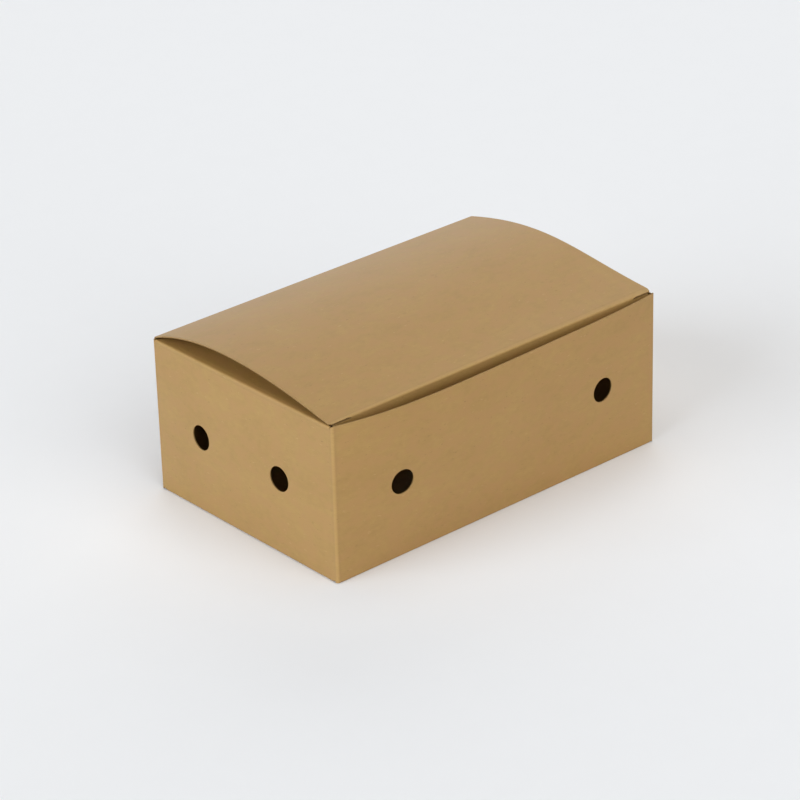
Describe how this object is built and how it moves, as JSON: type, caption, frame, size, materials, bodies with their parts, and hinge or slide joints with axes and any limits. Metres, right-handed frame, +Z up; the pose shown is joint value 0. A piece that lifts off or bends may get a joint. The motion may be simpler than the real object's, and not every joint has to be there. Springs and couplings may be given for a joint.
{
  "type": "fries box",
  "caption": "Rectangular folding carton of brown kraft board with a hinged tuck lid, dust flaps, round steam vents in its walls and a crash-lock base.",
  "frame": {"origin": "centre of the base, on the plane the carton stands on", "axes": "+X along the length, the front wall faces -Y, the lid is creased to the back wall at +Y, +Z is up"},
  "size_m": [0.1828, 0.12, 0.0787],
  "materials": {
    "kraft_board": "matt, unbleached"
  },
  "bodies": {
    "carton": {"carton_body": "kraft_board"},
    "lid": {"lid": "kraft_board"}
  },
  "joints": [
    {"name": "lid_hinge", "type": "hinge", "parent": "carton", "child": "lid", "pos_m": [0, 0.057, 0.07], "axis": [-1, 0, 0], "range_deg": [0, 180]}
  ]
}
